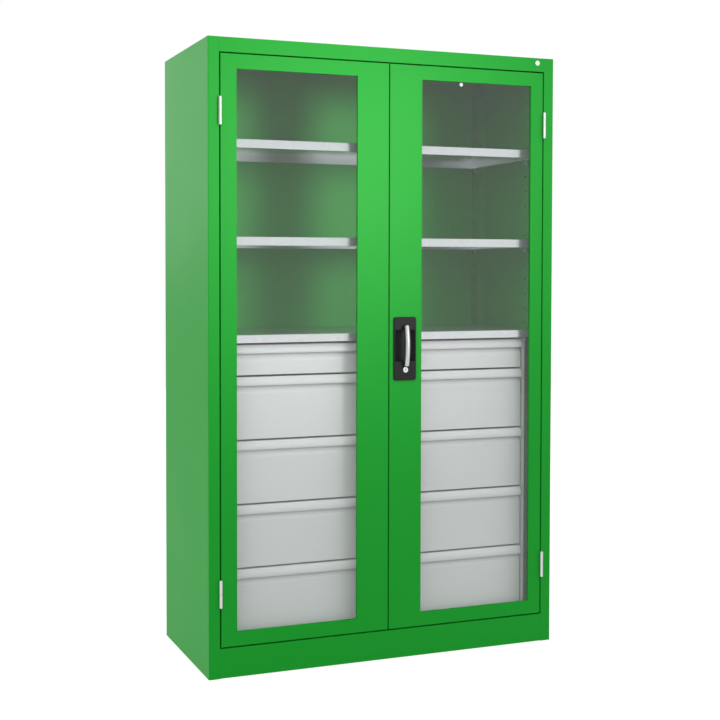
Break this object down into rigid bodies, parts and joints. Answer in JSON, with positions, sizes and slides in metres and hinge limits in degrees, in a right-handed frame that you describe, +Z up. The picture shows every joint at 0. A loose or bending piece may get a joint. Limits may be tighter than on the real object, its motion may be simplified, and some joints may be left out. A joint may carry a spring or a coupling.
{
  "type": "heavy-duty cabinet",
  "caption": "Tall free-standing steel cabinet with two glazed hinged doors, shelves above a stack of drawers, and a bow lever with a lock.",
  "frame": {"origin": "on the floor, at the middle of the overall footprint, which counts the lever in front of the doors", "axes": "+X to the right seen from the front, +Y from the doors to the back, +Z up"},
  "size_m": [1.2, 0.532, 1.95],
  "materials": {
    "green_paint": "smooth bright green powder coat",
    "grey_paint": "smooth light grey powder coat",
    "galvanised_sheet": "bright zinc-coated sheet",
    "zinc_steel": "zinc-plated steel",
    "hinge_steel": "bright steel",
    "clear_pane": "clear acrylic sheet",
    "black_plastic": "fine-grained black moulding",
    "satin_aluminium": "satin",
    "bright_metal": "nickel plate",
    "black_rubber": "moulded",
    "pale_badge": "plain disc with nothing on it"
  },
  "bodies": {
    "carcass": {"back_panel": "green_paint", "blank_badge": "pale_badge", "bottom_panel": "green_paint", "door_bumpers": "black_rubber", "drawer_1_fixed_runners": "zinc_steel", "drawer_2_fixed_runners": "zinc_steel", "drawer_3_fixed_runners": "zinc_steel", "drawer_4_fixed_runners": "zinc_steel", "drawer_5_fixed_runners": "zinc_steel", "drawer_cover_shelf": "galvanised_sheet", "frame_hinge_knuckles": "hinge_steel", "hinge_pins": "hinge_steel", "left_front_shelf_rail": "green_paint", "left_housing_panel": "grey_paint", "left_rear_shelf_rail": "green_paint", "left_side_panel": "green_paint", "plinth": "green_paint", "right_front_shelf_rail": "green_paint", "right_housing_panel": "grey_paint", "right_rear_shelf_rail": "green_paint", "right_side_panel": "green_paint", "shelf_clips": "zinc_steel", "shelf_middle": "galvanised_sheet", "shelf_upper": "galvanised_sheet", "top_panel": "green_paint"},
    "drawer_1": {"drawer_1_box": "grey_paint", "drawer_1_front": "grey_paint", "drawer_1_sliding_runners": "zinc_steel"},
    "drawer_2": {"drawer_2_box": "grey_paint", "drawer_2_front": "grey_paint", "drawer_2_sliding_runners": "zinc_steel"},
    "drawer_3": {"drawer_3_box": "grey_paint", "drawer_3_front": "grey_paint", "drawer_3_sliding_runners": "zinc_steel"},
    "drawer_4": {"drawer_4_box": "grey_paint", "drawer_4_front": "grey_paint", "drawer_4_sliding_runners": "zinc_steel"},
    "drawer_5": {"drawer_5_box": "grey_paint", "drawer_5_front": "grey_paint", "drawer_5_sliding_runners": "zinc_steel"},
    "left_door": {"left_door_hinge_knuckles": "hinge_steel", "left_door_pane": "clear_pane", "left_door_pane_retainers": "green_paint", "left_door_panel": "green_paint"},
    "lever": {"lever_bow": "satin_aluminium", "lever_spindle": "zinc_steel"},
    "lock_core": {"lock_core": "bright_metal"},
    "lower_rod": {"lower_rod": "zinc_steel"},
    "right_door": {"handle_plate": "black_plastic", "lock_barrel": "bright_metal", "lock_case": "zinc_steel", "right_door_hinge_knuckles": "hinge_steel", "right_door_pane": "clear_pane", "right_door_pane_retainers": "green_paint", "right_door_panel": "green_paint", "rod_guides": "zinc_steel"},
    "upper_rod": {"upper_rod": "zinc_steel"}
  },
  "joints": [
    {"name": "right_door_swing", "type": "hinge", "parent": "carcass", "child": "right_door", "pos_m": [0.56302, -0.2396, 1], "axis": [0, 0, 1], "range_deg": [0, 180]},
    {"name": "left_door_swing", "type": "hinge", "parent": "carcass", "child": "left_door", "pos_m": [-0.56302, -0.2396, 1], "axis": [0, 0, -1], "range_deg": [0, 180]},
    {"name": "lever_turn", "type": "hinge", "parent": "right_door", "child": "lever", "pos_m": [0.0545, -0.2406, 1.0655], "axis": [0, -1, 0], "range_deg": [0, 90]},
    {"name": "lock_core_turn", "type": "hinge", "parent": "right_door", "child": "lock_core", "pos_m": [0.0545, -0.2435, 0.9295], "axis": [0, -1, 0], "range_deg": [0, 90]},
    {"name": "upper_rod_slide", "type": "slide", "parent": "right_door", "child": "upper_rod", "axis": [0, 0, 1], "range_m": [0, 0.015]},
    {"name": "lower_rod_slide", "type": "slide", "parent": "right_door", "child": "lower_rod", "axis": [0, 0, -1], "range_m": [0, 0.015]},
    {"name": "drawer_1_slide", "type": "slide", "parent": "carcass", "child": "drawer_1", "axis": [0, -1, 0], "range_m": [0, 0.3]},
    {"name": "drawer_2_slide", "type": "slide", "parent": "carcass", "child": "drawer_2", "axis": [0, -1, 0], "range_m": [0, 0.3]},
    {"name": "drawer_3_slide", "type": "slide", "parent": "carcass", "child": "drawer_3", "axis": [0, -1, 0], "range_m": [0, 0.3]},
    {"name": "drawer_4_slide", "type": "slide", "parent": "carcass", "child": "drawer_4", "axis": [0, -1, 0], "range_m": [0, 0.3]},
    {"name": "drawer_5_slide", "type": "slide", "parent": "carcass", "child": "drawer_5", "axis": [0, -1, 0], "range_m": [0, 0.3]}
  ],
  "couplings": [
    {"joint": "left_door_swing", "follows": "right_door_swing", "ratio": 1},
    {"joint": "upper_rod_slide", "follows": "lever_turn", "m_per_rad": 0.00954},
    {"joint": "lower_rod_slide", "follows": "lever_turn", "m_per_rad": 0.00954},
    {"joint": "drawer_1_slide", "follows": "right_door_swing", "m_per_rad": 0.06875},
    {"joint": "drawer_2_slide", "follows": "right_door_swing", "m_per_rad": 0.06875},
    {"joint": "drawer_3_slide", "follows": "right_door_swing", "m_per_rad": 0.06875},
    {"joint": "drawer_4_slide", "follows": "right_door_swing", "m_per_rad": 0.06875},
    {"joint": "drawer_5_slide", "follows": "right_door_swing", "m_per_rad": 0.06875}
  ]
}
